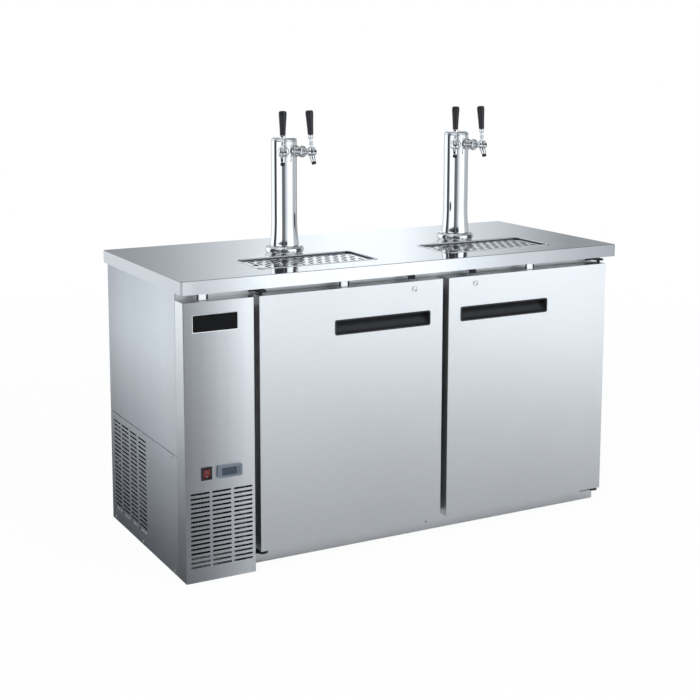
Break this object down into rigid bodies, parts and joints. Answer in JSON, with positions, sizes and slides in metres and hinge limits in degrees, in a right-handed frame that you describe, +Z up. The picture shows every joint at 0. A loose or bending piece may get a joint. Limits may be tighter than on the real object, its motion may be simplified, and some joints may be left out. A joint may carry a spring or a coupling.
{
  "type": "direct draw keg cooler",
  "caption": "Stainless keg cooler with insulated cabinet, swing doors, side compressor bay, draft towers with faucets and recessed drip trays.",
  "frame": {"origin": "on the floor, under the middle of the worktop", "axes": "+X along the front to the right, +Y from the doors to the back, +Z up"},
  "size_m": [1.549, 0.676, 1.3532],
  "materials": {
    "stainless": "satin",
    "worktop_steel": "polished",
    "galvanised": "satin",
    "cabinet_liner": "matte",
    "tower_chrome": "polished",
    "black_plastic": "satin",
    "gasket_rubber": "matte",
    "black_paint": "satin",
    "red_plastic": "gloss",
    "controller_grey": "satin",
    "fin_aluminium": "satin"
  },
  "bodies": {
    "cabinet": {"base_pan": "galvanised", "back_panel": "galvanised", "cabinet_floor": "cabinet_liner", "cabinet_bulkhead": "cabinet_liner", "cabinet_right_wall": "cabinet_liner", "cabinet_back_wall": "cabinet_liner", "cabinet_ceiling": "cabinet_liner", "evaporator_cover": "cabinet_liner", "centre_mullion": "stainless", "front_header": "stainless", "upper_side_panel": "stainless", "lower_side_panel": "stainless", "right_side_panel": "stainless", "front_cover": "stainless", "worktop": "worktop_steel", "drip_pan_left": "worktop_steel", "drip_pan_right": "worktop_steel", "tower_flange_left": "tower_chrome", "tower_column_left": "tower_chrome", "tower_cap_left": "tower_chrome", "tower_flange_right": "tower_chrome", "tower_column_right": "tower_chrome", "tower_cap_right": "tower_chrome", "faucet_shank_left_a": "tower_chrome", "faucet_body_left_a": "tower_chrome", "faucet_shank_left_b": "tower_chrome", "faucet_body_left_b": "tower_chrome", "faucet_shank_right_a": "tower_chrome", "faucet_body_right_a": "tower_chrome", "faucet_shank_right_b": "tower_chrome", "faucet_body_right_b": "tower_chrome", "switch_bezel": "black_plastic", "power_inlet": "black_plastic", "left_upper_hinge": "black_paint", "left_lower_hinge": "black_paint", "right_upper_hinge": "black_paint", "right_lower_hinge": "black_paint", "compressor": "black_paint", "condenser_fan_motor": "black_paint", "temperature_controller": "controller_grey", "condenser_coil": "fin_aluminium"},
    "lever_left_a": {"faucet_lever_left_a": "black_plastic"},
    "lever_left_b": {"faucet_lever_left_b": "black_plastic"},
    "lever_right_a": {"faucet_lever_right_a": "black_plastic"},
    "lever_right_b": {"faucet_lever_right_b": "black_plastic"},
    "left_door": {"left_door_shell": "stainless", "left_door_liner": "cabinet_liner", "left_door_gasket": "gasket_rubber", "left_door_handle": "black_plastic"},
    "left_lock": {"left_door_lock": "tower_chrome"},
    "right_door": {"right_door_shell": "stainless", "right_door_liner": "cabinet_liner", "right_door_gasket": "gasket_rubber", "right_door_handle": "black_plastic"},
    "right_lock": {"right_door_lock": "tower_chrome"},
    "rocker": {"switch_rocker": "red_plastic"},
    "grate_left": {"drip_grate_left": "worktop_steel"},
    "grate_right": {"drip_grate_right": "worktop_steel"},
    "condenser_rotor": {"condenser_fan": "black_plastic"},
    "evaporator_rotor": {"evaporator_fan": "black_plastic"}
  },
  "joints": [
    {"name": "lever_left_a_pull", "type": "hinge", "parent": "cabinet", "child": "lever_left_a", "pos_m": [-0.32826, -0.07759, 1.231], "axis": [0.8829, -0.4695, 0], "range_deg": [0, 32]},
    {"name": "lever_left_b_pull", "type": "hinge", "parent": "cabinet", "child": "lever_left_b", "pos_m": [-0.22874, -0.07759, 1.231], "axis": [0.8829, 0.4695, 0], "range_deg": [0, 32]},
    {"name": "lever_right_a_pull", "type": "hinge", "parent": "cabinet", "child": "lever_right_a", "pos_m": [0.3087, -0.07083, 1.231], "axis": [0.8192, -0.5736, 0], "range_deg": [0, 32]},
    {"name": "lever_right_b_pull", "type": "hinge", "parent": "cabinet", "child": "lever_right_b", "pos_m": [0.40749, -0.08296, 1.231], "axis": [0.9336, 0.3584, 0], "range_deg": [0, 32]},
    {"name": "left_door_swing", "type": "hinge", "parent": "cabinet", "child": "left_door", "pos_m": [-0.5114, -0.302, 0.445], "axis": [0, 0, -1], "range_deg": [0, 105]},
    {"name": "left_lock_turn", "type": "hinge", "parent": "left_door", "child": "left_lock", "pos_m": [0.0015, -0.312, 0.8085], "axis": [0, -1, 0], "range_deg": [0, 90]},
    {"name": "right_door_swing", "type": "hinge", "parent": "cabinet", "child": "right_door", "pos_m": [0.7331, -0.302, 0.445], "axis": [0, 0, 1], "range_deg": [0, 105]},
    {"name": "right_lock_turn", "type": "hinge", "parent": "right_door", "child": "right_lock", "pos_m": [0.2275, -0.312, 0.8085], "axis": [0, -1, 0], "range_deg": [0, 90]},
    {"name": "switch_rock", "type": "hinge", "parent": "cabinet", "child": "rocker", "pos_m": [-0.698, -0.317, 0.326], "axis": [-1, 0, 0], "range_deg": [0, 16]},
    {"name": "grate_left_lift", "type": "slide", "parent": "cabinet", "child": "grate_left", "axis": [0, 0, 1], "range_m": [0, 0.06]},
    {"name": "grate_right_lift", "type": "slide", "parent": "cabinet", "child": "grate_right", "axis": [0, 0, 1], "range_m": [0, 0.06]},
    {"name": "condenser_fan_spin", "type": "hinge", "parent": "cabinet", "child": "condenser_rotor", "pos_m": [-0.652, -0.168, 0.15], "axis": [0, 1, 0], "continuous": true},
    {"name": "evaporator_fan_spin", "type": "hinge", "parent": "cabinet", "child": "evaporator_rotor", "pos_m": [-0.4157, 0.04, 0.64], "axis": [1, 0, 0], "continuous": true}
  ]
}
